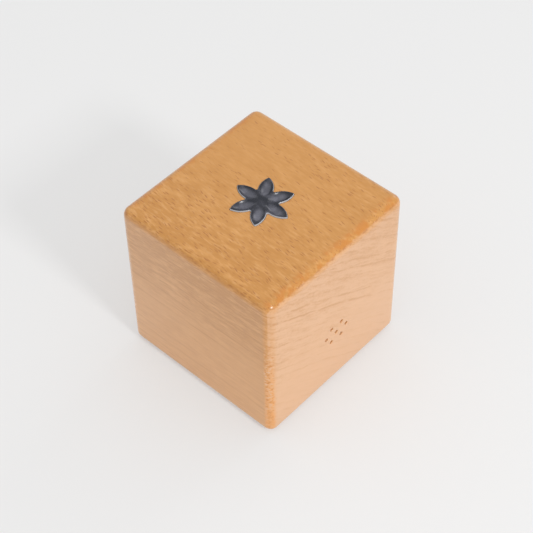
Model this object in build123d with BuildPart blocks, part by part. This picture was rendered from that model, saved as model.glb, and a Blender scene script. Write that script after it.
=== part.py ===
"""Beech desk cube: a solid block with softened arrises, a dished inlay set in its top
and a small group of drilled holes in one side.

Millimetres, +Z up. The origin is the middle of the base, the grain runs along Y,
and the drilled side faces -Y.
"""

import os
from math import atan, pi, radians, sin, sqrt, tan

from build123d import *

# Block
cube_edge = 50.0
arris_radius = 2.5

# Six-petal rosette, the outline of the pocket and of the inlay
petal_count = 6
petal_reach = 8.5
petal_width = 4.0
outline_corner_radius = 0.35
first_petal_angle = 90

# Pocket in the top of the block
pocket_depth = 2.3
pocket_rim_break = 0.15

# Inlay, seated on the pocket's floor, a little proud of the top and scooped out along each petal
inlay_thickness = 2.6
inlay_glue_line = 0.05
inlay_bevel_share = 0.8
inlay_rim_width = 0.4
inlay_hub_share = 0.39
scoop_tip_margin = 1.1
scoop_depth = 0.85

# Drilled holes in the -Y side, in rows one above the other
hole_diameter = 1.1
hole_depth = 6.0
drill_tip_angle = 118
drill_overrun = 1.0
hole_spacing = 3.8
hole_row_spacing = 2.5
hole_group_height = 19.5
holes_in_rows = (2, 3, 2)

os.makedirs("parts", exist_ok=True)

# One petal is a lens of two arcs, from the middle of the rosette to its tip
with BuildSketch() as petal:
    with BuildLine():
        ThreePointArc((0, 0), (petal_reach / 2, petal_width / 2), (petal_reach, 0))
        mirror(about=Plane.XZ)
    make_face()

# The petals run together round the middle, and the cutter's radius rounds every corner
with BuildSketch() as rosette:
    with PolarLocations(0, petal_count, start_angle=first_petal_angle):
        add(petal.sketch)
    fillet(rosette.vertices(), radius=outline_corner_radius)

# A drilled hole: its mouth is at the origin, and it runs down -Z to the drill's cone
hole_radius = hole_diameter / 2
drill_tip_length = hole_radius / tan(radians(drill_tip_angle / 2))
with BuildPart() as drilled_hole:
    with Locations((0, 0, -hole_depth)):
        Cylinder(hole_radius, hole_depth + drill_overrun, align=(Align.CENTER, Align.CENTER, Align.MIN))
        Cone(0, hole_radius, drill_tip_length, align=(Align.CENTER, Align.CENTER, Align.MAX))

# The block: a cube with rounded arrises, the rosette pocket and the holes
drilled_side = Plane(origin=(0, -cube_edge / 2, hole_group_height), x_dir=(1, 0, 0), z_dir=(0, -1, 0))
top_row_height = hole_row_spacing * (len(holes_in_rows) - 1) / 2
with BuildPart() as beech_block:
    Box(cube_edge, cube_edge, cube_edge, align=(Align.CENTER, Align.CENTER, Align.MIN))
    fillet(beech_block.edges(), radius=arris_radius)
    with BuildSketch(Plane.XY.offset(cube_edge)):
        add(rosette.sketch)
    extrude(amount=-pocket_depth, mode=Mode.SUBTRACT)
    top_face = beech_block.faces().filter_by(Axis.Z).sort_by(Axis.Z)[-1]
    chamfer(top_face.inner_wires().edges(), length=pocket_rim_break)
    for row, hole_count in enumerate(holes_in_rows):
        with Locations(drilled_side):
            with Locations((0, top_row_height - row * hole_row_spacing)):
                with GridLocations(hole_spacing, 0, hole_count, 1):
                    add(drilled_hole.part, mode=Mode.SUBTRACT)
beech_block.part.label = "beech_block"
export_step(beech_block.part, "parts/beech_block.step")

# The hub is a share of the radius at which neighbouring petals part
petal_half_angle = 2 * atan(petal_width / petal_reach)
parting_radius = petal_reach * sin(petal_half_angle - pi / petal_count) / sin(petal_half_angle)
hub_radius = inlay_hub_share * parting_radius

# A scoop is a spindle: an arc turned about a line that lies above the inlay's top face.
# The arc dips under that face from the hub to just short of the petal's tip.
scoop_end = petal_reach - scoop_tip_margin
scoop_middle = (hub_radius + scoop_end) / 2
scoop_half_length = (scoop_end - hub_radius) / 2
scoop_half_width = petal_width / 2 - inlay_rim_width
scoop_arc_radius = (scoop_half_length**2 + scoop_depth**2) / (2 * scoop_depth)
spindle_lift = (scoop_half_width**2 - scoop_depth**2) / (2 * scoop_depth)
spindle_half_length = sqrt(scoop_arc_radius**2 - (scoop_arc_radius - scoop_depth - spindle_lift) ** 2)
with BuildPart() as scoop:
    with BuildSketch(Plane.XZ):
        with BuildLine():
            dip = ThreePointArc(
                (scoop_middle - spindle_half_length, spindle_lift),
                (scoop_middle, -scoop_depth),
                (scoop_middle + spindle_half_length, spindle_lift),
            )
            Line(dip @ 0, dip @ 1)
        make_face()
    revolve(axis=Axis((0, 0, spindle_lift), (1, 0, 0)))

# The inlay fills the pocket less a glue line, with a bevelled edge and a scoop along every petal.
# The bevel is a share of the radius at the petals' tips, so that it fits round them.
pocket_floor = cube_edge - pocket_depth
inlay_bevel = inlay_bevel_share * (outline_corner_radius - inlay_glue_line)
with BuildPart() as enamel_inlay:
    with BuildSketch(Plane.XY.offset(pocket_floor)):
        add(rosette.sketch)
        offset(amount=-inlay_glue_line)
    extrude(amount=inlay_thickness)
    chamfer(enamel_inlay.edges().group_by(Axis.Z)[-1], length=inlay_bevel)
    with Locations((0, 0, pocket_floor + inlay_thickness)):
        with PolarLocations(0, petal_count, start_angle=first_petal_angle):
            add(scoop.part, mode=Mode.SUBTRACT)
enamel_inlay.part.label = "enamel_inlay"
export_step(enamel_inlay.part, "parts/enamel_inlay.step")
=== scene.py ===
"""Beech desk cube: the look of the block's wood and of its dished inlay, on a plain studio stage."""

import math
from collections import namedtuple
from functools import partial, reduce

import bmesh
import bpy
import numpy as np
from bpy.props import FloatProperty, FloatVectorProperty, IntProperty, PointerProperty
from mathutils import Matrix, Vector


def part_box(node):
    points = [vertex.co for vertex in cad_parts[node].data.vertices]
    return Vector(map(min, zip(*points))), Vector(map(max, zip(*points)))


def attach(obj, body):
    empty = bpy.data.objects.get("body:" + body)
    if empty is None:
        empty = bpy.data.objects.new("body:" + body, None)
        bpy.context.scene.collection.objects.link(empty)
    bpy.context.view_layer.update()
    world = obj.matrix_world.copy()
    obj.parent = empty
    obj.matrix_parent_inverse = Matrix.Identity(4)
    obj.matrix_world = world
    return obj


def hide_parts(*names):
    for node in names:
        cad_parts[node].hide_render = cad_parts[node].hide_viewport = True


bl_info = {
    "name": "Beech Desk Cube",
    "version": (1, 0, 0),
    "blender": (4, 5, 0),
    "location": "View3D > Sidebar > Beech Cube",
    "description": "Builds a beech desk cube with a dished rosette inlay, and a stage to show it on",
    "category": "Object",
}

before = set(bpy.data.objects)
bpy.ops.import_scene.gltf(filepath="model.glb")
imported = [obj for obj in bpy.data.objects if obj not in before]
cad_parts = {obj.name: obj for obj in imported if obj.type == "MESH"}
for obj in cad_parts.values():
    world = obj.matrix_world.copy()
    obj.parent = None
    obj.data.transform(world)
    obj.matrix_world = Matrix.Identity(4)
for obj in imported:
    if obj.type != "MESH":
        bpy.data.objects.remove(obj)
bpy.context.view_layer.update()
BLOCK_LOW, BLOCK_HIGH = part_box("beech_block")
INLAY_LOW, INLAY_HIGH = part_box("enamel_inlay")
EDGE = BLOCK_HIGH.z - BLOCK_LOW.z
MM = 0.001

# How finely the surfaces are divided
FLAT_STEPS = 90
ARRIS_STEPS = 8
EDGE_STEPS = 4
HOLE_CELL_STEPS = (8, 5)
HOLE_BAND_STEPS = 3
PETAL_STEPS = (4, 20, 6)
TOP_BAND_STEPS = 12
POCKET_WALL_STEPS = 4
POCKET_FLOOR_STEPS = 6
INLAY_RINGS = 72
INLAY_BASE_STEPS = 2
FLOOR_RINGS = 16
FLOOR_SPOKES = 64

# Points closer than this are welded, and edges that turn more than this stay sharp
WELD_DISTANCE = 0.002 * MM
SHARP_ANGLE = math.radians(32)

# Rows of holes: how many rows over the middle one, and how many holes
HOLE_ROWS = ((1, 2), (0, 3), (-1, 2))
HOLE_COLUMNS = max(holes for level, holes in HOLE_ROWS)

# Bearing in degrees at which the loops round the pocket start, towards a corner of the top,
# and the circle between the top's border and the pocket, in petal reaches
FIRST_BEARING = 225
CIRCLE_REACH = 1.3

# Name of the attribute that tells how far a point on the inlay lies down its bevelled edge, where the
# enamel paints a highlight
EDGE_SHINE = "rub"


# Properties


def length(name, description, default):
    """A length in metres."""
    return FloatProperty(name=name, description=description, default=default, unit="LENGTH", precision=5)


def amount(name, description, default):
    """A plain number, such as a share, a roughness or a strength."""
    return FloatProperty(name=name, description=description, default=default, precision=4)


def power(name, description, default):
    """A lamp's power in watts."""
    return FloatProperty(name=name, description=description, default=default, unit="POWER")


def angle(name, description, degrees):
    """An angle, written in degrees."""
    default = math.radians(degrees)
    return FloatProperty(name=name, description=description, default=default, subtype="ANGLE")


def count(name, description, default):
    """A whole number of things."""
    return IntProperty(name=name, description=description, default=default)


def colour(name, description, default):
    """A linear red, green and blue."""
    span = {"min": 0, "max": 1}
    return FloatVectorProperty(name=name, description=description, default=default, subtype="COLOR", **span)


def place(name, description, default):
    """A point or a set of three lengths, in metres."""
    kind = {"subtype": "XYZ", "unit": "LENGTH"}
    return FloatVectorProperty(name=name, description=description, default=default, **kind)


class BlockShape(bpy.types.PropertyGroup):
    """Sizes of the beech block and of the holes drilled in its -Y side."""

    edge: length("Edge", "Side of the cube", EDGE)
    arris_radius: length("Arris radius", "Radius of the rounded edges", 2.5 * MM)
    hole_diameter: length("Hole diameter", "Width of a drilled hole", 1.1 * MM)
    hole_depth: length("Hole depth", "Depth of a hole down to the drill's cone", 6.0 * MM)
    hole_mouth_break: length("Hole mouth break", "Rounding of a hole's mouth", 0.16 * MM)
    drill_tip_angle: angle("Drill tip angle", "Full angle of the cone at the end of a hole", 118)
    hole_spacing: length("Hole spacing", "Step from hole to hole along a row", 3.8 * MM)
    hole_row_spacing: length("Row spacing", "Step from row to row", 2.5 * MM)
    hole_group_height: length("Hole group height", "Height of the middle row over the base", 19.5 * MM)


class RosetteShape(bpy.types.PropertyGroup):
    """Sizes of the six-petal outline, its pocket and the inlay in it."""

    petal_count: count("Petals", "Number of petals", 6)
    petal_reach: length("Petal reach", "From the middle to a petal's tip before rounding", 8.5 * MM)
    petal_width: length("Petal width", "Width of a petal at its middle", 4.0 * MM)
    corner_radius: length("Corner radius", "Rounding of the tips and notches", 0.35 * MM)
    first_angle: angle("First petal", "Direction of the first petal from +X", 90)
    pocket_floor: length("Pocket floor", "Height of the pocket's floor over the base", INLAY_LOW.z)
    rim_break: length("Rim break", "Rounding of the pocket's rim", 0.15 * MM)
    inlay_top: length("Inlay top", "Height of the inlay's top over the base", INLAY_HIGH.z)
    glue_line: length("Glue line", "Gap between the inlay and the pocket's wall", 0.05 * MM)
    bevel_share: amount("Bevel share", "Bevel of the inlay's edge as a share of its tips' radius", 0.8)
    rim_width: length("Rim width", "Flat left beside a scoop at the middle of a petal", 0.4 * MM)
    hub_share: amount("Hub share", "Hub's radius as a share of the radius where the petals part", 0.39)
    tip_margin: length("Tip margin", "Flat left between a scoop and the petal's tip", 1.1 * MM)
    scoop_depth: length("Scoop depth", "Deepest point of a scoop under the inlay's top", 0.85 * MM)
    edge_softness: length("Edge softness", "Rounding where a scoop meets the inlay's top", 0.07 * MM)


class BeechFinish(bpy.types.PropertyGroup):
    """Colours and figure of the lacquered beech."""

    earlywood: colour("Earlywood", "Pale wood between the ring lines", (0.825, 0.422, 0.155))
    latewood: colour("Latewood", "Darker wood at the end of each year's growth", (0.535, 0.226, 0.036))
    fleck: colour("Fleck", "Ray flecks", (0.370, 0.118, 0.006))
    # Painted highlight: pale glints along the silky hairs of the grain
    glint: colour("Glint", "Pale silky hairs between the flecks", (0.900, 0.560, 0.260))
    # Partly painted: this tint keeps the top more golden than the sides, whose paler look is painted sheen
    golden_top_tint: colour("Sunned", "Tint of the top, which the light has turned golden", (1.000, 1.000, 0.850))
    # Paler tone, partly end grain and partly painted sheen; it also paints the highlights of the pale dots
    # on the upright arrises
    end_grain_and_sheen: colour("End grain", "Paler, pinker wood on the two ends", (0.730, 0.425, 0.235))
    arris: colour("Arris", "Bright tone where the upright edges were sanded round", (0.760, 0.330, 0.080))
    arris_spot: colour("Arris spot", "Deep tone where the edges drank more lacquer", (0.560, 0.195, 0.012))
    pith: place("Pith", "Point on the tree's axis, which runs along the grain", (-235 * MM, 0.0, -372 * MM))
    grain_lean: angle("Grain lean", "Slope of the grain from Y towards +X", 5.5)
    grain_rise: angle("Grain rise", "Slope of the grain from Y towards +Z", -4.5)
    ring_spacing: length("Ring spacing", "Width of a year's growth", 2.6 * MM)
    fleck_size: place("Fleck size", "Cell of a fleck along X, Y and Z", (0.45 * MM, 2.6 * MM, 0.50 * MM))
    ior: amount("IOR", "Refraction of the wood under the lacquer", 1.5)
    roughness: amount("Roughness", "Roughness of the wood under the lacquer", 0.34)
    lacquer_cover: amount("Lacquer cover", "How far the lacquer closes the surface", 0.9)
    lacquer_ior: amount("Lacquer IOR", "Refraction of the lacquer", 1.5)
    lacquer_roughness: amount("Lacquer roughness", "Satin of the lacquer", 0.25)
    relief: length("Relief", "Depth of the open grain", 0.02 * MM)
    arris_relief: length("Arris relief", "Unevenness of the hand-sanded edges", 0.10 * MM)


class EnamelFinish(bpy.types.PropertyGroup):
    """Colour and gloss of the inlay."""

    body: colour("Body", "Dark slate of the inlay", (0.007, 0.009, 0.018))
    # Partly haze in the slate and partly painted reflection: the haze and the scoops are paled with it
    haze_and_sheen: colour("Bloom", "Paler haze in the slate", (0.138, 0.139, 0.172))
    # Painted highlight along the inlay's bevelled edge
    rubbed: colour("Rubbed", "Pale tone where the edge is rubbed", (0.460, 0.480, 0.515))
    ior: amount("IOR", "Refraction of the enamel", 1.5)
    roughness: amount("Roughness", "Gloss of the inlay", 0.28)
    relief: length("Relief", "Depth of the faint ripple in its surface", 0.01 * MM)


class StudioStage(bpy.types.PropertyGroup):
    """Floor, light and camera."""

    floor: colour("Floor", "Pale plain floor", (0.80, 0.80, 0.80))
    floor_roughness: amount("Floor roughness", "Roughness of the floor", 0.9)
    floor_specular: amount("Floor specular", "Strength of the floor's dull shine", 0.2)
    floor_tone: colour("Floor tone", "Tone that the floor keeps for the camera", (0.845, 0.845, 0.845))
    floor_hold: amount("Floor hold", "How much of that tone shows over light and shadow", 0.45)
    floor_radius: length("Floor radius", "Reach of the floor", 4.0)
    walls: amount("Walls", "Brightness of the room at eye level", 0.76)
    ceiling: amount("Ceiling", "Brightness of the room overhead", 1.02)
    walls_end: amount("Walls' end", "Upward part of a direction where the walls end", 0.76)
    ceiling_start: amount("Ceiling's start", "Upward part of a direction where the ceiling is full", 0.96)
    key_energy: power("Key energy", "Power of the key lamp", 2.3)
    key_azimuth: angle("Key azimuth", "Direction of the key lamp, from -Y towards +X", -7)
    key_elevation: angle("Key elevation", "Height of the key lamp", 38)
    key_distance: length("Key distance", "From the cube to the key lamp", 0.8)
    key_size: length("Key size", "Side of the key lamp", 0.13)
    side_energy: power("Side energy", "Power of the side lamp", 3.5)
    side_azimuth: angle("Side azimuth", "Direction of the side lamp, from -Y towards +X", 90)
    side_elevation: angle("Side elevation", "Height of the side lamp", 30)
    side_distance: length("Side distance", "From the cube to the side lamp", 2.0)
    side_size: length("Side size", "Side of the side lamp", 0.8)
    lens: amount("Lens", "Focal length in millimetres on a 36 mm sensor", 100.1)
    clip_start: length("Clip start", "Nearest distance that the camera sees", 0.01)
    aim: place("Aim", "Point in the middle of the picture", (1.01 * MM, -0.13 * MM, 25 * MM))
    distance: length("Camera distance", "From the aim to the camera", 385.04 * MM)
    azimuth: angle("Camera azimuth", "Camera's direction, from -Y towards +X", -47.006)
    elevation: angle("Camera elevation", "Camera's height angle", 48.705)
    roll: angle("Camera roll", "Turn of the camera about its own line of sight", -1.065)


class BeechCubeSettings(bpy.types.PropertyGroup):
    """Everything that a user would change."""

    block: PointerProperty(type=BlockShape)
    rosette: PointerProperty(type=RosetteShape)
    beech: PointerProperty(type=BeechFinish)
    enamel: PointerProperty(type=EnamelFinish)
    stage: PointerProperty(type=StudioStage)


# Surfaces


def grid_faces(grid):
    """The quads between neighbours on a grid of points, as numbers of the points in order of their rows."""
    rows, columns = grid.shape[:2]
    index = np.arange(rows * columns).reshape(rows, columns)
    return np.stack((index[:-1, :-1], index[1:, :-1], index[1:, 1:], index[:-1, 1:]), axis=-1)


def closed(loops):
    """Loops of points that end where they start."""
    return np.concatenate((loops, loops[:, :1]), axis=1)


class Surface:
    """Patches of a closed surface: each is a grid of points, and neighbours share their border points."""

    def __init__(self):
        self.points = []
        self.faces = []
        self.size = 0

    def add(self, grid, keep=None):
        """Adds a grid of points with quads between neighbours, or only the quads that keep marks."""
        quads = grid_faces(grid) + self.size
        self.faces.append(quads.reshape(-1, 4) if keep is None else quads[keep])
        self.points.append(grid.reshape(-1, 3))
        self.size += len(self.points[-1])

    def add_ring(self, loops):
        """Adds closed loops of points, one inside or under the other, as one band."""
        self.add(closed(loops))

    def mesh(self, name):
        """Welds the patches' borders and turns every face outwards."""
        mesh = bpy.data.meshes.new(name)
        points = np.concatenate(self.points)
        faces = np.concatenate(self.faces)
        mesh.from_pydata(points.tolist(), [], faces.tolist())
        welded = bmesh.new()
        welded.from_mesh(mesh)
        bmesh.ops.remove_doubles(welded, verts=welded.verts, dist=WELD_DISTANCE)
        bmesh.ops.recalc_face_normals(welded, faces=welded.faces)
        open_edges = sum(not edge.is_manifold for edge in welded.edges)
        if open_edges:
            raise RuntimeError(f"{name} has {open_edges} open edges")
        welded.to_mesh(mesh)
        welded.free()
        mesh.shade_smooth()
        mesh.set_sharp_from_angle(angle=SHARP_ANGLE)
        return mesh


def add_piece(name, mesh, material, node):
    """Puts a finished mesh in the scene in place of a CAD node."""
    mesh.materials.append(material)
    piece = bpy.data.objects.new(name, mesh)
    bpy.context.scene.collection.objects.link(piece)
    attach(piece, "root")
    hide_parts(node)


def at_height(outline, height):
    """Gives a flat outline, or a stack of them, a height."""
    return np.concatenate((outline, np.full(outline.shape[:-1] + (1,), height)), axis=-1)


def between(first, last, steps):
    """A stack of loops in equal steps from the first loop to the last, both included."""
    share = np.linspace(0, 1, steps + 1)[:, None, None]
    return first + (last - first) * share


def unit_circle(turn):
    """Points on a circle of radius one, at the angles of turn."""
    return np.stack((np.cos(turn), np.sin(turn)), axis=-1)


def arc(centre, radius, start, stop, steps):
    """Points on an arc about a centre, from one angle to another, both included."""
    return centre + radius * unit_circle(np.linspace(start, stop, steps + 1))


def petal_turns(shape):
    """The directions of the petals' own lines."""
    return shape.first_angle + 2 * math.pi / shape.petal_count * np.arange(shape.petal_count)


def rosette_outline(shape, grow):
    """The rosette's outline, moved outwards by grow, as points in order round the middle.

    Half a petal is three arcs that run into one another: the small one round the tip, the petal's side
    and the small one in the notch beside the next petal. It is mirrored in the petal's own line and turned
    through every petal. The first point is the one nearest to the first bearing.
    """
    reach, half_width, corner = shape.petal_reach, shape.petal_width / 2, shape.corner_radius
    sector = math.pi / shape.petal_count
    side_radius = (reach**2 / 4 + half_width**2) / (2 * half_width)
    side_centre = np.array((reach / 2, half_width - side_radius))
    tip_run = math.sqrt((side_radius - corner) ** 2 - side_centre[1] ** 2)
    tip_centre = np.array((reach / 2 + tip_run, 0))
    ray = np.array((math.cos(sector), math.sin(sector)))
    along = ray @ side_centre
    notch_run = along + math.sqrt(along**2 - side_centre @ side_centre + (side_radius + corner) ** 2)
    notch_centre = notch_run * ray
    tip_turn = math.atan2(-side_centre[1], tip_run)
    notch_turn = math.atan2(*(notch_centre - side_centre)[::-1])
    tip_steps, side_steps, notch_steps = PETAL_STEPS
    half = np.concatenate((
        arc(tip_centre, corner + grow, 0, tip_turn, tip_steps),
        arc(side_centre, side_radius + grow, tip_turn, notch_turn, side_steps)[1:],
        arc(notch_centre, corner - grow, notch_turn + math.pi, sector + math.pi, notch_steps)[1:],
    ))
    petal = np.concatenate((half[:0:-1] * (1, -1), half[:-1]))
    cos, sin = unit_circle(petal_turns(shape)).T
    turned = np.einsum("ijk,lj->kli", np.array(((cos, -sin), (sin, cos))), petal)
    outline = turned.reshape(-1, 2)
    bearing = np.degrees(np.arctan2(outline[:, 1], outline[:, 0])) % 360
    return np.roll(outline, -int(np.argmin(np.abs(bearing - FIRST_BEARING))), axis=0)


def rounding(radius):
    """A quarter round at an edge, from the face to the wall.

    It is a pair: how far each step lies outside the wall, and how far under the face.
    """
    turn = np.linspace(0, math.pi / 2, EDGE_STEPS + 1)
    return radius * (1 - np.sin(turn)), radius * (1 - np.cos(turn))


def rounded_edge(rosette, wall, away, top, radius):
    """Outlines over a quarter round, from a face at a height down to a wall.

    The wall is the rosette moved outwards by the amount wall, and away is 1 where the face lies outside it
    and -1 where the face lies inside it.
    """
    over, under = rounding(radius)
    outlines = [rosette_outline(rosette, wall + away * step) for step in over]
    return np.stack([at_height(outline, top - drop) for outline, drop in zip(outlines, under)])


def stops(breaks, steps):
    """Places along an axis, in equal steps within each stretch between two breaks."""
    runs = [np.linspace(a, b, n + 1)[:-1] for a, b, n in zip(breaks, breaks[1:], steps)]
    return np.concatenate(runs + [np.array(breaks[-1:])])


def flat_stops(block):
    """Places of the flats' grid lines along X, Y and Z, with lines on the borders of the holes' cells."""
    flat = block.edge / 2 - block.arris_radius
    reach_x = HOLE_COLUMNS / 2 * block.hole_spacing
    reach_z = len(HOLE_ROWS) / 2 * block.hole_row_spacing
    cells_x = HOLE_COLUMNS * HOLE_CELL_STEPS[0]
    cells_z = len(HOLE_ROWS) * HOLE_CELL_STEPS[1]
    low_z, high_z = block.arris_radius, block.edge - block.arris_radius
    group_low, group_high = block.hole_group_height - reach_z, block.hole_group_height + reach_z
    side_steps = (FLAT_STEPS - cells_x) // 2
    rest_z = group_low - low_z + high_z - group_high
    below_steps = round((FLAT_STEPS - cells_z) * (group_low - low_z) / rest_z)
    above_steps = FLAT_STEPS - cells_z - below_steps
    return (
        stops((-flat, -reach_x, reach_x, flat), (side_steps, cells_x, side_steps)),
        stops((-flat, flat), (FLAT_STEPS,)),
        stops((low_z, group_low, group_high, high_z), (below_steps, cells_z, above_steps)),
    )


def cube_side(axis, sign, lines, radius):
    """One side of the rounded cube, up to the middle of its arrises.

    Each of the two directions across the side has a flat run between two eighths of a turn. A point is
    the nearest point of the flat, less the arris radius, plus that radius along the direction
    (tan a, tan b, 1), where a and b are the two turns, both zero on the flat.
    """
    across = [k for k in range(3) if k != axis]
    turn = np.tan(np.linspace(0, math.pi / 4, ARRIS_STEPS + 1)[1:])
    cores = [np.pad(lines[k], ARRIS_STEPS, mode="edge") for k in across]
    tilts = [np.concatenate((-turn[::-1], np.zeros(len(lines[k])), turn)) for k in across]
    out = np.zeros((len(tilts[0]), len(tilts[1]), 3))
    out[..., across[0]] = tilts[0][:, None]
    out[..., across[1]] = tilts[1][None, :]
    out[..., axis] = sign
    out *= radius / np.linalg.norm(out, axis=-1, keepdims=True)
    out[..., across[0]] += cores[0][:, None]
    out[..., across[1]] += cores[1][None, :]
    out[..., axis] += lines[axis][-1 if sign > 0 else 0]
    return out


def border(first, second):
    """The border of a rectangle of grid lines, as a closed loop in order, from its lowest corner."""
    grid = np.stack(np.meshgrid(first, second, indexing="ij"), axis=-1)
    return np.concatenate((grid[:-1, 0], grid[-1, :-1], grid[:0:-1, -1], grid[0, :0:-1]))


def add_pocketed_top(surface, block, rosette, lines):
    """The top's flat round the pocket, the pocket's rounded rim, its wall and its floor.

    The flat is two bands of straight rays, from the square border in to a circle and from there to the rim.
    """
    square = border(lines[0], lines[1])
    turn = math.radians(FIRST_BEARING) + np.linspace(0, 2 * math.pi, len(square), endpoint=False)
    circle = CIRCLE_REACH * rosette.petal_reach * unit_circle(turn)
    edge = rounded_edge(rosette, 0, 1, block.edge, rosette.rim_break)
    rim, wall = edge[0, :, :2], edge[-1, :, :2]
    surface.add_ring(at_height(between(square, circle, TOP_BAND_STEPS), block.edge))
    surface.add_ring(at_height(between(circle, rim, TOP_BAND_STEPS), block.edge))
    surface.add_ring(edge)
    surface.add_ring(between(edge[-1], at_height(wall, rosette.pocket_floor), POCKET_WALL_STEPS))
    surface.add_ring(at_height(between(wall, wall * 0, POCKET_FLOOR_STEPS), rosette.pocket_floor))


def hole_centres(block):
    """Centres of the holes on the -Y side as x and z, row by row, each row about the middle."""
    places = [(column - (holes - 1) / 2, level) for level, holes in HOLE_ROWS for column in range(holes)]
    steps = (block.hole_spacing, block.hole_row_spacing)
    return np.array(places) * steps + (0, block.hole_group_height)


def add_drilled_side(surface, block, lines):
    """The -Y side: its grid without the holes' cells, and in each cell a band and a hole.

    The band goes from the cell's border to the mouth of the hole. The rounded mouth follows, then the
    hole's wall and the drill's cone, which ends in a point.
    """
    side = cube_side(1, -1, lines, block.arris_radius)
    centres = hole_centres(block)
    half_cell = np.array((block.hole_spacing, block.hole_row_spacing)) / 2
    middle = [(side[:-1, :-1, k] + side[1:, 1:, k]) / 2 for k in (0, 2)]
    keep = np.ones(middle[0].shape, bool)
    for centre in centres:
        keep &= (abs(middle[0] - centre[0]) > half_cell[0]) | (abs(middle[1] - centre[1]) > half_cell[1])
    surface.add(side, keep)
    radius = block.hole_diameter / 2
    tip = radius / math.tan(block.drill_tip_angle / 2)
    over, under = rounding(block.hole_mouth_break)
    depths = np.concatenate((under, (block.hole_depth / 2, block.hole_depth, block.hole_depth + tip)))
    radii = np.concatenate((radius + over, (radius, radius, 0)))
    cell = border(*(np.linspace(-half, half, n + 1) for half, n in zip(half_cell, HOLE_CELL_STEPS)))
    circle = unit_circle(np.arctan2(cell[:, 1], cell[:, 0]))
    band = between(cell, radii[0] * circle, HOLE_BAND_STEPS)
    loops = np.concatenate((band, radii[1:, None, None] * circle))
    levels = np.concatenate((np.zeros(HOLE_BAND_STEPS), depths)) - block.edge / 2
    for centre in centres:
        flat = loops + centre
        depth = np.broadcast_to(levels[:, None], flat.shape[:2])
        surface.add_ring(np.stack((flat[..., 0], depth, flat[..., 1]), axis=-1))


def block_mesh(block, rosette):
    """The rounded cube, with its pocket and holes."""
    lines = flat_stops(block)
    surface = Surface()
    for axis, sign in ((0, -1), (0, 1), (1, 1), (2, -1)):
        surface.add(cube_side(axis, sign, lines, block.arris_radius))
    top = cube_side(2, 1, lines, block.arris_radius)
    flat = slice(ARRIS_STEPS, ARRIS_STEPS + FLAT_STEPS)
    arris_only = np.ones((top.shape[0] - 1, top.shape[1] - 1), bool)
    arris_only[flat, flat] = False
    surface.add(top, arris_only)
    add_pocketed_top(surface, block, rosette, lines)
    add_drilled_side(surface, block, lines)
    return surface.mesh("block_wood")


def scoop_dip(points, rosette):
    """How far the scoops dip under the inlay's top at each point.

    A scoop is an arc turned about a line above the petal. With the arc's distance from that line as w, the
    dip is the root of w squared less the sideways distance squared, less the height of the line.
    """
    reach, half_width = rosette.petal_reach, rosette.petal_width / 2
    half_angle = 2 * math.atan(half_width * 2 / reach)
    sector = math.pi / rosette.petal_count
    parting = reach * math.sin(half_angle - sector) / math.sin(half_angle)
    start, end = rosette.hub_share * parting, reach - rosette.tip_margin
    depth, half_scoop = rosette.scoop_depth, half_width - rosette.rim_width
    lift = (half_scoop**2 - depth**2) / (2 * depth)
    arc_radius = ((end - start) ** 2 / 4 + depth**2) / (2 * depth)
    cos, sin = unit_circle(petal_turns(rosette)).T
    along = points[..., :1] * cos + points[..., 1:] * sin - (start + end) / 2
    aside = points[..., 1:] * cos - points[..., :1] * sin
    swell = np.sqrt(np.clip(arc_radius**2 - along**2, 0, None)) - (arc_radius - depth) + lift
    dip = np.sqrt(np.clip(np.clip(swell, 0, None) ** 2 - aside**2, 0, None)) - lift
    deepest = dip.max(axis=-1)
    soft = rosette.edge_softness
    return (deepest + np.sqrt(deepest**2 + soft**2)) / 2


def mark_edge_shine(mesh, rosette, bevel):
    """Gives each point an edge shine: how far it lies under the dished top, as a share of the bevel, up to
    one; the enamel lays its painted highlight by it.
    """
    points = np.empty(3 * len(mesh.vertices), np.float32)
    mesh.vertices.foreach_get("co", points)
    points = points.reshape(-1, 3).astype(float)
    drop = rosette.inlay_top - scoop_dip(points[:, :2], rosette) - points[:, 2]
    rub = np.clip(drop / bevel, 0, 1).astype(np.float32)
    mesh.attributes.new(EDGE_SHINE, "FLOAT", "POINT").data.foreach_set("value", rub)


def inlay_mesh(rosette):
    """The inlay: rings out to the rim, dipped by the scoops, then its bevel, its wall and its underside."""
    bevel = rosette.bevel_share * (rosette.corner_radius - rosette.glue_line)
    edge = rounded_edge(rosette, -rosette.glue_line, -1, rosette.inlay_top, bevel)
    rim, wall = edge[0, :, :2], edge[-1, :, :2]
    rings = between(rim * 0, rim, INLAY_RINGS)
    height = rosette.inlay_top - scoop_dip(rings, rosette)
    dished = np.concatenate((rings, height[..., None]), axis=-1)
    foot = at_height(wall, rosette.pocket_floor)
    surface = Surface()
    surface.add_ring(dished)
    surface.add_ring(np.concatenate((dished[-1:], edge[1:], foot[None])))
    surface.add_ring(at_height(between(wall, wall * 0, INLAY_BASE_STEPS), rosette.pocket_floor))
    mesh = surface.mesh("inlay_enamel")
    mark_edge_shine(mesh, rosette, bevel)
    return mesh


def floor_mesh(radius):
    """A disc: rings about the origin whose radii grow with the square of their number."""
    turn = np.linspace(0, 2 * math.pi, FLOOR_SPOKES, endpoint=False)
    rings = radius * np.linspace(0, 1, FLOOR_RINGS)[:, None, None] ** 2
    disc = at_height(closed(rings * unit_circle(turn)), 0)
    mesh = bpy.data.meshes.new("stage_floor")
    mesh.from_pydata(disc.reshape(-1, 3).tolist(), [], grid_faces(disc).reshape(-1, 4).tolist())
    return mesh


# Finishes

# Noise with a scale per millimetre, a detail and a roughness
Pattern = namedtuple("Pattern", "scale detail roughness", defaults=(2.0, 0.5))

# A smooth change from start to stop while a value goes from first to last
Ramp = namedtuple("Ramp", "first last start stop", defaults=(0.0, 1.0))

# How much of the way round the rings and along the grain a pattern sees: less draws it out longer
Draw = namedtuple("Draw", "round grain")

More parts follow.
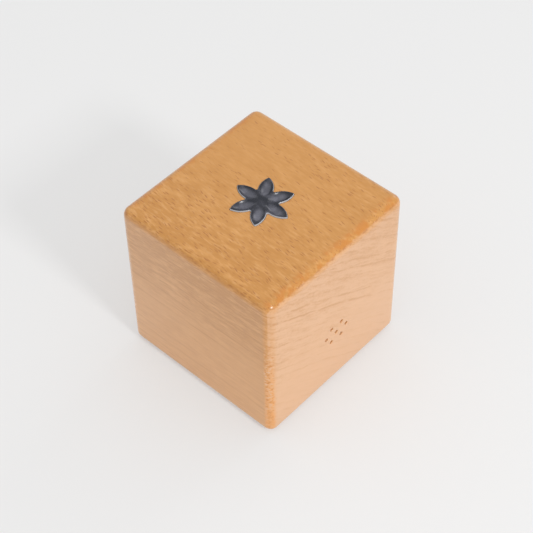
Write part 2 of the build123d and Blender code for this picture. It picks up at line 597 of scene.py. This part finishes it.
# A strength on the top, and what the ends of the grain and the lengths beside them add to it
Sides = namedtuple("Sides", "top ends lengths", defaults=(0.0,))

# Mean of a pattern, and what brings the product of a share and its rest up to one at its highest
MEAN = 0.5
PEAK = 4.0

# Rings: their slow and quick wander in millimetres, and the dark line that ends a year, with its gaps
WANDER_GRAIN = 0.2
SLOW_WANDER, SLOW_REACH = Pattern(0.03), 3.0
QUICK_WANDER, QUICK_REACH = Pattern(0.28), 0.9
LINE_RISE = Ramp(0.60, 0.90)
LINE_END = Ramp(0.90, 1.0, 1.0, 0.0)
LINE_GAPS, LINE_DRAW = Pattern(0.9, 2.0, 0.6), Draw(0.2, 0.05)
LINE_SHOWN = Ramp(0.38, 0.60)
FAINT_YEAR, YEAR_SPREAD = 0.2, 0.8
LINE_STRENGTH = Sides(0.4, 0.8, 1.2)

# Growth layers, and the hairs between them
BROAD_LAYERS, BROAD_DRAW = Pattern(0.8, 3.0, 0.6), Draw(0.12, 0.08)
BROAD_STRENGTH = Sides(1.8, -0.3)
FINE_LAYERS, FINE_DRAW = Pattern(2.2, 2.0, 0.6), Draw(0.13, 0.10)
FINE_STRENGTH = Sides(2.2, -0.5, 0.9)
HAIRS, HAIR_DRAW = Pattern(1.7, 2.0, 0.55), Draw(1.0, 0.2)
DARK_HAIRS = Ramp(0.60, 0.34, 0.0, 0.30)
# Hairs that take the painted glints
GLINTING_HAIRS = Ramp(0.50, 0.72, 0.0, 0.11)

# Borders of the ends and of the golden top, in arris radii: how ragged, and where they begin and are full
RAGGED, RAGGED_REACH = Pattern(0.5, 3.0, 0.6), 0.35
NOTCHED, NOTCHED_REACH = Pattern(1.3, 2.0, 0.6), 0.3
# Painted sheen: the ends reach this far round the upright arrises, so their paler tone lies on the arrises
# too
ROUND_REACH = 0.28
END_BORDER = (0.26, 0.12)
TOP_BORDER = (0.62, 0.28)

# How strongly the figure shows: by distance from the tree's axis, by place, and on the ends by height
INNER_FIGURE = Ramp(446, 470, 0.13)
OUTER_FIGURE = Ramp(470, 486, 1.60, 0.62)
FRONT_SWING = Ramp(-15.0, 15.0, -0.10, 0.40)
CALM_FROM, CALM = 15.0, -0.5
END_FIGURE = Ramp(12.0, 44.0, 0.20, 0.85)

# Ray flecks: the wander of their rows, their dark middle, and which of them show
FLECK_WANDER, FLECK_REACH = Pattern(0.22), 1.6
FLECK_MIDDLE = Ramp(0.16, 0.42, 1.0, 0.0)
FLECK_ZONE = 0.60
FLECK_SHOWN = Ramp(0.90, 1.35, 0.0, 0.80)
FLECK_BESIDE, FLECK_TOP = 0.35, 0.65
FLECK_ENDS = -0.5

# Upright arrises: the border of their bright band, its brightness by height, and the dots in it, the pale
# ones painted highlights on the ridges and the deep ones deeper lacquer with painted shade
DOTS, DOT_WIDTH = Pattern(1.3, 2.0, 0.6), 0.75
BAND_EDGE, BAND_RAGGED = Pattern(0.7, 2.0, 0.6), 0.8
BAND_DOTTED = 0.6
BAND_SIDEWAYS = 0.5
BAND = Ramp(0.90, 1.55)
BRIGHT_HEIGHT = Ramp(8.0, 40.0, 1.2375, 0.075)
DOTS_LOW = Ramp(4.0, 18.0, 0.45, 1.0)
DOTS_HIGH = Ramp(24.0, 43.0, 1.0, 0.20)
GLINT_DOTS = Ramp(0.51, 0.62, 0.0, 0.90)
SHADED_DEEP_DOTS = Ramp(0.49, 0.38, 0.0, 0.78)

# Deep spots beside the arrises that cross the ends, and the broken dark rim of the golden top
SPOT_BORDER = (1.5, 0.7)
SPOTS, SPOT_SHOWN = Pattern(0.36, 2.0, 0.55), Ramp(0.42, 0.60, 0.0, 0.80)
RIM, RIM_SHOWN = Pattern(0.7), Ramp(0.45, 0.62, 0.0, 0.45)

# Tone of the wood: by depth of figure, in patches, in blotches along the grain and by height
MEAN_DEPTH = 0.24
BODY_DEPTH = Ramp(-0.4, 1.1)
PATCHES, PATCH_TONE = Pattern(0.10, 3.0, 0.6), Ramp(0.35, 0.75, 0.0, 0.10)
BLOTCHES, BLOTCH_TONE = Pattern(0.45, 3.0, 0.6), Ramp(0.40, 0.66, -0.02, 0.20)
BLOTCH_GRAIN = 0.35
TONE_FROM, TOP_TONE = 8.0, 0.60

# Paleness of the ends, partly end grain and partly painted sheen, by depth of figure and less towards their
# upper +X corner, where painted shade lies, and of the sides along Y
PALE_DEPTH = Ramp(0.10, 0.90, 0.66, 0.22)
# Painted shade towards the ends' upper +X corner
PAINTED_SHADE_FROM = -10.0
PAINTED_SHADE_HEIGHT = Ramp(12.0, 45.0, 0.0, -0.30)
PALE_FROM, PALE_SIDE = -5.0, 0.12

# Relief as shares of its depth, and spread of the roughness
HAIR_RELIEF = 0.6
FLECK_RELIEF = 0.4 / FLECK_SHOWN.stop
DOT_RELIEF = 0.5
SANDING = Pattern(0.55)
WOOD_SPREAD = 0.16

# Enamel: its haze and specks, its hollows, which start a little under the top, paled with the haze as
# painted reflection, and the painted highlight on its bevelled edge
HAZE, HAZE_SHEEN = Pattern(0.35, 3.0, 0.55), Ramp(0.42, 0.72, 0.0, 0.50)
SPECKS, ENAMEL_SPREAD = Pattern(3.0, 2.0, 0.6), 0.10
HOLLOW_START, HOLLOW_SHEEN = 0.1, 0.60
EDGE_SHINE_SHOWN = Ramp(0.02, 0.40)


class Shading:
    """A node tree in the making: its methods add shader nodes and return the socket with the result."""

    def __init__(self, owner):
        owner.use_nodes = True
        self.tree = owner.node_tree

    def put(self, socket, value):
        """Links a socket to a result, or gives it a fixed value."""
        if isinstance(value, bpy.types.NodeSocket):
            self.tree.links.new(value, socket)
        else:
            socket.default_value = value

    def node(self, kind, values, **settings):
        """Adds a node, with its settings and the values of its inputs."""
        added = self.tree.nodes.new(kind)
        for name, value in settings.items():
            setattr(added, name, value)
        for name, value in values.items():
            self.put(added.inputs[name], value)
        return added

    def sum(self, operation, *values):
        """One step of arithmetic."""
        return self.node("ShaderNodeMath", dict(enumerate(values)), operation=operation).outputs[0]

    def product(self, *values):
        """All the values multiplied."""
        return reduce(partial(self.sum, "MULTIPLY"), values)

    def total(self, *values):
        """All the values added."""
        return reduce(partial(self.sum, "ADD"), values)

    def step(self, value, ramp):
        """Follows a ramp."""
        inputs = ("Value", "From Min", "From Max", "To Min", "To Max")
        values = dict(zip(inputs, (value, *ramp)))
        return self.node("ShaderNodeMapRange", values, interpolation_type="SMOOTHSTEP").outputs[0]

    def blend(self, share, first, second, way="MIX"):
        """Mixes two colours."""
        mixer = self.node("ShaderNodeMix", {}, data_type="RGBA", blend_type=way)
        sockets = (mixer.inputs[0], mixer.inputs[6], mixer.inputs[7])
        for socket, value in zip(sockets, (share, first, second)):
            self.put(socket, value)
        return mixer.outputs[2]

    def vector(self, x, y, z):
        """Three numbers as one vector."""
        return self.node("ShaderNodeCombineXYZ", {0: x, 1: y, 2: z}).outputs[0]

    def noise(self, where, pattern):
        """A pattern of smooth noise."""
        values = dict(zip(("Vector", "Scale", "Detail", "Roughness"), (where, *pattern)))
        return self.node("ShaderNodeTexNoise", values).outputs[0]

    def swing(self, where, pattern):
        """A pattern of smooth noise about zero."""
        return self.sum("SUBTRACT", self.noise(where, pattern), MEAN)

    def spread(self, pattern, width, middle):
        """A value that a pattern spreads about its middle."""
        return self.sum("MULTIPLY_ADD", pattern, width, middle - width * MEAN)

    def surface_point(self):
        """The point on the piece, in millimetres, as three numbers and as a vector."""
        where = self.node("ShaderNodeTexCoord", {}).outputs["Object"]
        scaling = {0: where, "Scale": 1 / MM}
        scaled = self.node("ShaderNodeVectorMath", scaling, operation="SCALE").outputs[0]
        parts = self.node("ShaderNodeSeparateXYZ", {0: scaled}).outputs
        return parts[0], parts[1], parts[2], scaled

    def bump(self, height, distance):
        """A normal that follows a height, which is a share of the distance."""
        values = {"Height": height, "Strength": 1.0, "Distance": distance}
        return self.node("ShaderNodeBump", values).outputs[0]


class Finish(Shading):
    """A material in the making."""

    def __init__(self, name):
        self.material = bpy.data.materials.new(name)
        super().__init__(self.material)
        self.shader = self.tree.nodes["Principled BSDF"]

    def set(self, **values):
        """Sets or links inputs of the shader; their names are written with _ for a space."""
        for name, value in values.items():
            self.put(self.shader.inputs[name.replace("_", " ")], value)


def rgba(rgb):
    """A colour with full cover."""
    return (*rgb, 1.0)


class Beech(Finish):
    """Lacquered beech in the making: figure that runs through the whole block, in millimetres.

    Rings lie about the tree's axis, which runs along the grain. The methods that set something find where
    a point lies in the wood. Most of the others add one feature and return how strongly it shows there.
    """

    def __init__(self, look, block):
        super().__init__("lacquered_beech")
        self.look = look
        self.half = block.edge / 2 / MM
        self.bend = block.arris_radius / MM
        self.x, self.y, self.z, self.point = self.surface_point()
        self.set_rings()
        self.set_arrises()
        self.set_sides()
        self.hair = self.noise(self.along_rings(HAIR_DRAW), HAIRS)
        self.dot = self.dots()
        self.fleck = self.flecks()

    def along_grain(self, grain):
        """The point with the grain's slopes taken out, drawn out along the grain."""
        return self.vector(self.leaned, self.product(self.y, grain), self.raised)

    def along_rings(self, draw):
        """The point by distance round the rings, along the grain and across the rings, drawn out."""
        around, along = self.product(self.round, draw.round), self.product(self.y, draw.grain)
        return self.vector(around, along, self.radius)

    def inset(self, side, border):
        """A ramp between two distances in from a side, which are given in arris radii."""
        return Ramp(*(side - share * self.bend for share in border))

    def by_side(self, strength):
        """A strength that differs on the top, on the ends and on the lengths beside them."""
        on_ends = self.product(self.ends, strength.ends)
        return self.total(strength.top, on_ends, self.product(self.beside, strength.lengths))

    def set_rings(self):
        """Distance across the rings, straight and wandering, and distance round them."""
        pith_x, pith_z = self.look.pith[0] / MM, self.look.pith[2] / MM
        self.leaned = self.sum("MULTIPLY_ADD", self.y, -math.tan(self.look.grain_lean), self.x)
        self.raised = self.sum("MULTIPLY_ADD", self.y, -math.tan(self.look.grain_rise), self.z)
        from_x = self.sum("SUBTRACT", self.leaned, pith_x)
        from_z = self.sum("SUBTRACT", self.raised, pith_z)
        flat = self.vector(from_x, 0.0, from_z)
        self.straight = self.node("ShaderNodeVectorMath", {0: flat}, operation="LENGTH").outputs["Value"]
        turn = self.sum("ARCTAN2", from_z, from_x)
        self.round = self.product(turn, math.hypot(pith_x, self.half - pith_z))
        drawn = self.along_grain(WANDER_GRAIN)
        slow = self.product(self.noise(drawn, SLOW_WANDER), SLOW_REACH)
        quick = self.product(self.noise(drawn, QUICK_WANDER), QUICK_REACH)
        self.radius = self.total(self.straight, slow, quick)

    def set_arrises(self):
        """How far a point lies round each pair of sides, from none on a flat to one in mid-arris.

        On the upright arrises it also tells which of the two sides is nearer.
        """
        centred = (self.x, self.y, self.sum("SUBTRACT", self.z, self.half))
        flat = self.half - self.bend
        depths = [self.sum("SUBTRACT", self.sum("ABSOLUTE", value), flat) for value in centred]
        past = [self.sum("MAXIMUM", depth, 0.0) for depth in depths]
        scale = 2 / self.bend**2
        self.upright = self.product(past[0], past[1], scale)
        self.across_end = self.product(past[1], past[2], scale)
        self.along_side = self.product(past[2], past[0], scale)
        self.sideways = self.product(self.sum("SUBTRACT", past[0], past[1]), 1 / self.bend)

    def set_sides(self):
        """The ends of the grain, the lengths beside them, the golden top, and the figure's strength."""
        half, bend = self.half, self.bend
        ragged = self.product(self.swing(self.point, RAGGED), RAGGED_REACH * bend)
        notched = self.product(self.swing(self.point, NOTCHED), NOTCHED_REACH * bend)
        uneven = self.total(ragged, notched)
        rounded = self.product(self.upright, ROUND_REACH * bend)
        reach = self.total(self.sum("ABSOLUTE", self.y), uneven, rounded)
        self.ends = self.step(reach, self.inset(half, END_BORDER))
        self.lengths = self.sum("SUBTRACT", 1.0, self.ends)
        self.golden = self.step(self.total(self.z, uneven), self.inset(2 * half, TOP_BORDER))
        away = self.sum("SUBTRACT", 1.0, self.golden)
        self.top_border = self.product(self.golden, away, PEAK)
        self.beside = self.product(self.lengths, away)
        towards_front = self.step(self.y, Ramp(-half, half, 1.0, -1.0))
        nearer = self.sum("MULTIPLY_ADD", self.step(self.x, FRONT_SWING), towards_front, 1.0)
        calmer = self.step(self.x, Ramp(CALM_FROM, half, 0.0, CALM))
        calm = self.sum("MULTIPLY_ADD", self.beside, calmer, 1.0)
        inner, outer = (self.step(self.straight, ramp) for ramp in (INNER_FIGURE, OUTER_FIGURE))
        on_lengths = self.product(inner, outer, nearer, calm, self.lengths)
        self.zone = self.total(on_lengths, self.product(self.step(self.z, END_FIGURE), self.ends))

    def ring_lines(self):
        """A dark line at the end of each year, which comes up slowly and ends at once, fainter in some."""
        phase = self.sum("DIVIDE", self.radius, self.look.ring_spacing / MM)
        saw = self.sum("FRACT", phase)
        number = self.sum("FLOOR", phase)
        year = self.node("ShaderNodeTexWhiteNoise", {"W": number}, noise_dimensions="1D").outputs["Value"]
        line = self.product(self.step(saw, LINE_RISE), self.step(saw, LINE_END))
        broken = self.step(self.noise(self.along_rings(LINE_DRAW), LINE_GAPS), LINE_SHOWN)
        return self.product(line, broken, self.sum("MULTIPLY_ADD", year, YEAR_SPREAD, FAINT_YEAR))

    def layers(self):
        """Growth layers, drawn out round the rings and along the grain: broad ones and fine ones."""
        broad = self.swing(self.along_rings(BROAD_DRAW), BROAD_LAYERS)
        fine = self.swing(self.along_rings(FINE_DRAW), FINE_LAYERS)
        shown = self.product(broad, self.by_side(BROAD_STRENGTH))
        return self.total(shown, self.product(fine, self.by_side(FINE_STRENGTH)))

    def figure(self):
        """Depth of the figure: ring lines, layers and dark hairs, about the mean."""
        lines = self.product(self.ring_lines(), self.by_side(LINE_STRENGTH))
        figure = self.total(lines, self.layers(), self.step(self.hair, DARK_HAIRS))
        return self.sum("MULTIPLY_ADD", figure, self.zone, MEAN_DEPTH)

    def dots(self):
        """Fine dots up the upright arrises, where the layers of the ends run out."""
        aside = (self.product(value, DOT_WIDTH) for value in (self.x, self.y))
        return self.noise(self.vector(*aside, self.z), DOTS)

    def flecks(self):
        """Ray flecks: narrow cells, long along the grain, of which only some are dark.

        The ends of the grain show them as dots.
        """
        wander = self.sum("MULTIPLY_ADD", self.noise(self.point, FLECK_WANDER), FLECK_REACH, self.leaned)
        sizes = [size / MM for size in self.look.fleck_size]
        places = zip((wander, self.y, self.raised), sizes)
        cell = self.vector(*(self.sum("DIVIDE", value, size) for value, size in places))
        cells = self.node("ShaderNodeTexVoronoi", {"Vector": cell, "Scale": 1.0, "Randomness": 1.0}).outputs
        middle = self.step(cells["Distance"], FLECK_MIDDLE)
        chance = self.node("ShaderNodeSeparateColor", {0: cells["Color"]}).outputs[0]
        wanted = self.sum("MULTIPLY_ADD", self.zone, FLECK_ZONE, chance)
        contrast = self.sum("MULTIPLY_ADD", self.golden, FLECK_TOP, FLECK_BESIDE)
        seen = self.sum("MULTIPLY_ADD", self.ends, FLECK_ENDS, 1.0)
        return self.product(middle, self.step(wanted, FLECK_SHOWN), seen, contrast)

    def toning(self):
        """Deeper tone in patches, in blotches where the figure is strong, and towards the top."""
        patch = self.step(self.noise(self.point, PATCHES), PATCH_TONE)
        blotch = self.step(self.noise(self.along_grain(BLOTCH_GRAIN), BLOTCHES), BLOTCH_TONE)
        higher = self.step(self.z, Ramp(TONE_FROM, 2 * self.half, 0.0, TOP_TONE))
        return self.total(patch, self.product(blotch, self.lengths, self.zone), higher)

    def paleness_and_sheen(self, depth):
        """Paler tone on the ends, partly end grain and partly painted sheen, more so where the figure is
        shallow and less towards the upper +X corner, where painted shade lies, and on the sides towards +Y.
        """
        # Painted shade: the ends are less pale towards their upper +X corner, where the light falls off
        across = self.step(self.x, Ramp(PAINTED_SHADE_FROM, self.half))
        painted_shade = self.product(across, self.step(self.z, PAINTED_SHADE_HEIGHT))
        on_ends = self.product(self.ends, self.step(depth, PALE_DEPTH), self.sum("ADD", painted_shade, 1.0))
        along = self.step(self.y, Ramp(PALE_FROM, self.half, 0.0, PALE_SIDE))
        return self.total(on_ends, self.product(self.beside, along))

    def glints(self):
        """Painted glints: pale hairs along the lengths, where the figure is strong, lightened as
        highlights.
        """
        return self.product(self.step(self.hair, GLINTING_HAIRS), self.zone, self.lengths)

    def upright_arrises(self):
        """Bright wood up the upright arrises, strongest at the base, and the dots in it: pale ones are
        painted highlights on the ridges, deep ones deeper lacquer with painted shade.
        """
        border = self.product(self.noise(self.point, BAND_EDGE), BAND_RAGGED)
        ragged = self.total(border, self.product(self.dot, BAND_DOTTED))
        turned = self.product(self.upright, self.sideways, BAND_SIDEWAYS)
        band = self.step(self.total(self.upright, turned, ragged), BAND)
        dotted = self.product(band, self.step(self.z, DOTS_LOW), self.step(self.z, DOTS_HIGH))
        bright = self.product(band, self.step(self.z, BRIGHT_HEIGHT))
        pale, deep = (self.product(dotted, self.step(self.dot, ramp)) for ramp in (GLINT_DOTS, SHADED_DEEP_DOTS))
        return bright, pale, deep

    def spots(self):
        """Deep spots on the golden side of the arrises that cross the ends of the grain."""
        near = self.step(self.sum("ABSOLUTE", self.y), self.inset(self.half, SPOT_BORDER))
        return self.product(near, self.golden, self.step(self.noise(self.point, SPOTS), SPOT_SHOWN))

    def rim(self):
        """Broken dark rim where the golden top meets the sides."""
        return self.product(self.top_border, self.step(self.noise(self.point, RIM), RIM_SHOWN))

    def colour(self):
        """Earlywood and latewood, golden on top, with each feature's tone laid over the ones before it."""
        look = self.look
        depth = self.figure()
        body = self.blend(self.step(depth, BODY_DEPTH), rgba(look.earlywood), rgba(look.latewood))
        toned = self.blend(self.toning(), body, rgba(look.latewood))
        # Partly painted: the top keeps a more golden tint than the sides, whose paler look is painted sheen
        tone = self.blend(self.golden, toned, rgba(look.golden_top_tint), "MULTIPLY")
        bright, glint_dots, shaded_deep_dots = self.upright_arrises()
        features = (
            # Partly painted sheen: paler ends
            (self.paleness_and_sheen(depth), look.end_grain_and_sheen),
            # Painted glints along the grain
            (self.glints(), look.glint),
            (self.fleck, look.fleck),
            (bright, look.arris),
            # Painted highlights and painted shade on the ridges of the upright arrises
            (glint_dots, look.end_grain_and_sheen),
            (shaded_deep_dots, look.arris_spot),
            (self.spots(), look.arris_spot),
            (self.rim(), look.fleck),
        )
        for share, over in features:
            tone = self.blend(share, tone, rgba(over))
        return tone

    def relief(self):
        """Open grain all over, and the unevenness of hand-sanded arrises."""
        hairs, flecks = self.product(self.hair, HAIR_RELIEF), self.product(self.fleck, FLECK_RELIEF)
        grain = self.sum("SUBTRACT", hairs, flecks)
        worked = self.sum("MAXIMUM", self.upright, self.sum("MAXIMUM", self.across_end, self.along_side))
        sanded = self.sum("SUBTRACT", self.noise(self.point, SANDING), MEAN + DOT_RELIEF * MEAN)
        dotted = self.sum("MULTIPLY_ADD", self.dot, DOT_RELIEF, sanded)
        uneven = self.product(dotted, worked, self.look.arris_relief / self.look.relief)
        return self.bump(self.total(grain, uneven), self.look.relief)

    def dress(self):
        """Connects the wood to the shader, under its lacquer."""
        look, normal = self.look, self.relief()
        self.set(Base_Color=self.colour(), Normal=normal, IOR=look.ior)
        self.set(Roughness=self.spread(self.hair, WOOD_SPREAD, look.roughness))
        self.set(Coat_Weight=look.lacquer_cover, Coat_IOR=look.lacquer_ior)
        self.set(Coat_Roughness=look.lacquer_roughness, Coat_Normal=normal)
        return self.material


def enamel_material(look, rosette):
    """Dark satin enamel with a faint haze and ripple, paler down in the scoops and in the haze as painted
    reflection, and with a painted highlight on its bevelled edge.
    """
    enamel = Finish("slate_enamel")
    _, _, z, point = enamel.surface_point()
    haze = enamel.noise(point, HAZE)
    top, depth = rosette.inlay_top / MM, rosette.scoop_depth / MM
    # Painted reflection: paler down in the scoops and in the haze
    hollow_sheen = enamel.step(z, Ramp(top - HOLLOW_START, top - depth, 0.0, HOLLOW_SHEEN))
    pale = enamel.total(hollow_sheen, enamel.step(haze, HAZE_SHEEN))
    tone = enamel.blend(pale, rgba(look.body), rgba(look.haze_and_sheen))
    # Painted highlight along the bevelled edge
    rub = enamel.node("ShaderNodeAttribute", {}, attribute_name=EDGE_SHINE).outputs["Fac"]
    rubbed = enamel.blend(enamel.step(rub, EDGE_SHINE_SHOWN), tone, rgba(look.rubbed))
    roughness = enamel.spread(enamel.noise(point, SPECKS), ENAMEL_SPREAD, look.roughness)
    enamel.set(Base_Color=rubbed, Roughness=roughness, IOR=look.ior, Normal=enamel.bump(haze, look.relief))
    return enamel.material


def floor_material(look):
    """Plain pale floor that keeps part of its own tone where the camera, a reflection or glass shows it."""
    floor = Finish("pale_floor")
    floor.set(Base_Color=rgba(look.floor), Roughness=look.floor_roughness)
    floor.set(Specular_IOR_Level=look.floor_specular)
    ray = floor.node("ShaderNodeLightPath", {}).outputs
    mirrored = floor.sum("MAXIMUM", ray["Is Glossy Ray"], ray["Is Transmission Ray"])
    shown = floor.sum("MAXIMUM", ray["Is Camera Ray"], mirrored)
    hold = floor.sum("MULTIPLY", shown, look.floor_hold)
    tone = floor.node("ShaderNodeEmission", {"Color": rgba(look.floor_tone), "Strength": 1.0})
    mixed = floor.node("ShaderNodeMixShader", {0: hold, 1: floor.shader.outputs[0], 2: tone.outputs[0]})
    floor.put(floor.tree.nodes["Material Output"].inputs["Surface"], mixed.outputs[0])
    return floor.material


# Stage


def looking(aim, azimuth, elevation, distance, roll=0.0):
    """Where something stands that looks at aim.

    The azimuth is counted from -Y towards +X, and the roll turns it about its line of sight.
    """
    turn = Matrix.Rotation(azimuth, 4, "Z") @ Matrix.Rotation(math.pi / 2 - elevation, 4, "X")
    away = turn @ Vector((0, 0, distance))
    return Matrix.Translation(Vector(aim) + away) @ turn @ Matrix.Rotation(roll, 4, "Z")


def light_room(world, look):
    """An even room whose brightness rises from its walls to its ceiling."""
    room = Shading(world)
    toward = room.node("ShaderNodeTexCoord", {}).outputs["Generated"]
    height = room.node("ShaderNodeSeparateXYZ", {0: toward}).outputs[2]
    glow = room.tree.nodes["Background"]
    glow.inputs["Color"].default_value = (1.0, 1.0, 1.0, 1.0)
    brightness = Ramp(look.walls_end, look.ceiling_start, look.walls, look.ceiling)
    room.put(glow.inputs["Strength"], room.step(height, brightness))


def add_lamp(scene, name, look, role):
    """A square soft lamp that looks at the cube; its values in the stage's settings start with its role."""
    energy, azimuth, elevation, distance, size = (
        getattr(look, f"{role}_{value}") for value in ("energy", "azimuth", "elevation", "distance", "size")
    )
    lamp = bpy.data.lights.new(name, "AREA")
    lamp.shape = "SQUARE"
    lamp.size = size
    lamp.energy = energy
    placed = bpy.data.objects.new(name, lamp)
    placed.matrix_world = looking((0, 0, 0), azimuth, elevation, distance)
    scene.collection.objects.link(placed)


def add_camera(scene, look):
    """The camera that the scene is seen through."""
    lens = bpy.data.cameras.new("camera")
    lens.lens = look.lens
    lens.clip_start = look.clip_start
    camera = bpy.data.objects.new("camera", lens)
    camera.matrix_world = looking(look.aim, look.azimuth, look.elevation, look.distance, look.roll)
    scene.collection.objects.link(camera)
    scene.camera = camera


# Add-on


class BEECHCUBE_OT_block(bpy.types.Operator):
    """Build the beech block with its pocket and drilled holes"""

    bl_idname = "beechcube.block"
    bl_label = "Beech Block"

    def execute(self, context):
        settings = context.scene.beech_cube
        mesh = block_mesh(settings.block, settings.rosette)
        material = Beech(settings.beech, settings.block).dress()
        add_piece("block_wood", mesh, material, "beech_block")
        return {"FINISHED"}


class BEECHCUBE_OT_inlay(bpy.types.Operator):
    """Build the dished rosette inlay"""

    bl_idname = "beechcube.inlay"
    bl_label = "Enamel Inlay"

    def execute(self, context):
        settings = context.scene.beech_cube
        mesh = inlay_mesh(settings.rosette)
        material = enamel_material(settings.enamel, settings.rosette)
        add_piece("inlay_enamel", mesh, material, "enamel_inlay")
        return {"FINISHED"}


class BEECHCUBE_OT_stage(bpy.types.Operator):
    """Set the pale floor, the soft light and the camera"""

    bl_idname = "beechcube.stage"
    bl_label = "Studio Stage"

    def execute(self, context):
        scene, look = context.scene, context.scene.beech_cube.stage
        mesh = floor_mesh(look.floor_radius)
        mesh.materials.append(floor_material(look))
        floor = bpy.data.objects.new("stage_floor", mesh)
        scene.collection.objects.link(floor)
        scene.world = bpy.data.worlds.new("studio_room")
        light_room(scene.world, look)
        add_lamp(scene, "key_lamp", look, "key")
        add_lamp(scene, "side_lamp", look, "side")
        add_camera(scene, look)
        scene.view_settings.view_transform = "Standard"
        return {"FINISHED"}


class BEECHCUBE_PT_panel(bpy.types.Panel):
    """Lists the pieces and the stage, with their sizes and colours"""

    bl_idname = "BEECHCUBE_PT_panel"
    bl_label = "Beech Cube"
    bl_space_type = "VIEW_3D"
    bl_region_type = "UI"
    bl_category = "Beech Cube"

    def draw(self, context):
        settings = context.scene.beech_cube
        for operator, groups in (
            ("beechcube.block", ("block", "beech")),
            ("beechcube.inlay", ("rosette", "enamel")),
            ("beechcube.stage", ("stage",)),
        ):
            box = self.layout.box()
            box.operator(operator)
            for group in groups:
                values = getattr(settings, group)
                for name in values.__annotations__:
                    box.prop(values, name)


CLASSES = (
    BlockShape,
    RosetteShape,
    BeechFinish,
    EnamelFinish,
    StudioStage,
    BeechCubeSettings,
    BEECHCUBE_OT_block,
    BEECHCUBE_OT_inlay,
    BEECHCUBE_OT_stage,
    BEECHCUBE_PT_panel,
)


def register():
    for cls in CLASSES:
        bpy.utils.register_class(cls)
    bpy.types.Scene.beech_cube = PointerProperty(type=BeechCubeSettings)


def unregister():
    del bpy.types.Scene.beech_cube
    for cls in reversed(CLASSES):
        bpy.utils.unregister_class(cls)


def main():
    """Builds the pieces and the stage."""
    register()
    bpy.ops.beechcube.block()
    bpy.ops.beechcube.inlay()
    bpy.ops.beechcube.stage()


if __name__ == "__main__":
    main()
